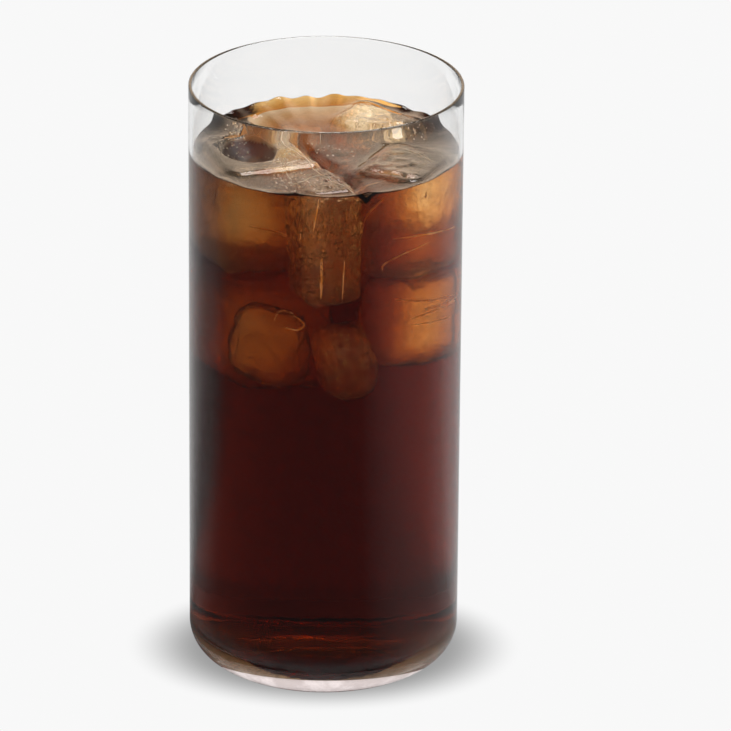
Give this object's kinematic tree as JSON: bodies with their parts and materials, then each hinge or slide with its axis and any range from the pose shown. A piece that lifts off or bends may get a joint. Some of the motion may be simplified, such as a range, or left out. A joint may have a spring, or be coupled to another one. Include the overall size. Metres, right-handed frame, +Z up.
{
  "type": "glass of cold brew coffee",
  "caption": "Cold brew coffee with melting ice blocks in a straight-sided tall glass with a thin rim and a rounded foot.",
  "frame": {"origin": "middle of the foot, on the plane on which the glass stands", "axes": "+Z up along the axis of the glass; -Y is the side nearest the viewer in the usual view"},
  "size_m": [0.064, 0.064, 0.144],
  "materials": {
    "clear_glass": "clear, thin, polished",
    "coffee": "dark brown liquid, amber where it is thin",
    "ice": "wet, melted, tinted by the coffee"
  },
  "bodies": {
    "root": {"glass": "clear_glass", "coffee": "coffee", "ice_left": "ice", "ice_middle": "ice", "ice_right": "ice", "ice_back": "ice"}
  },
  "joints": []
}
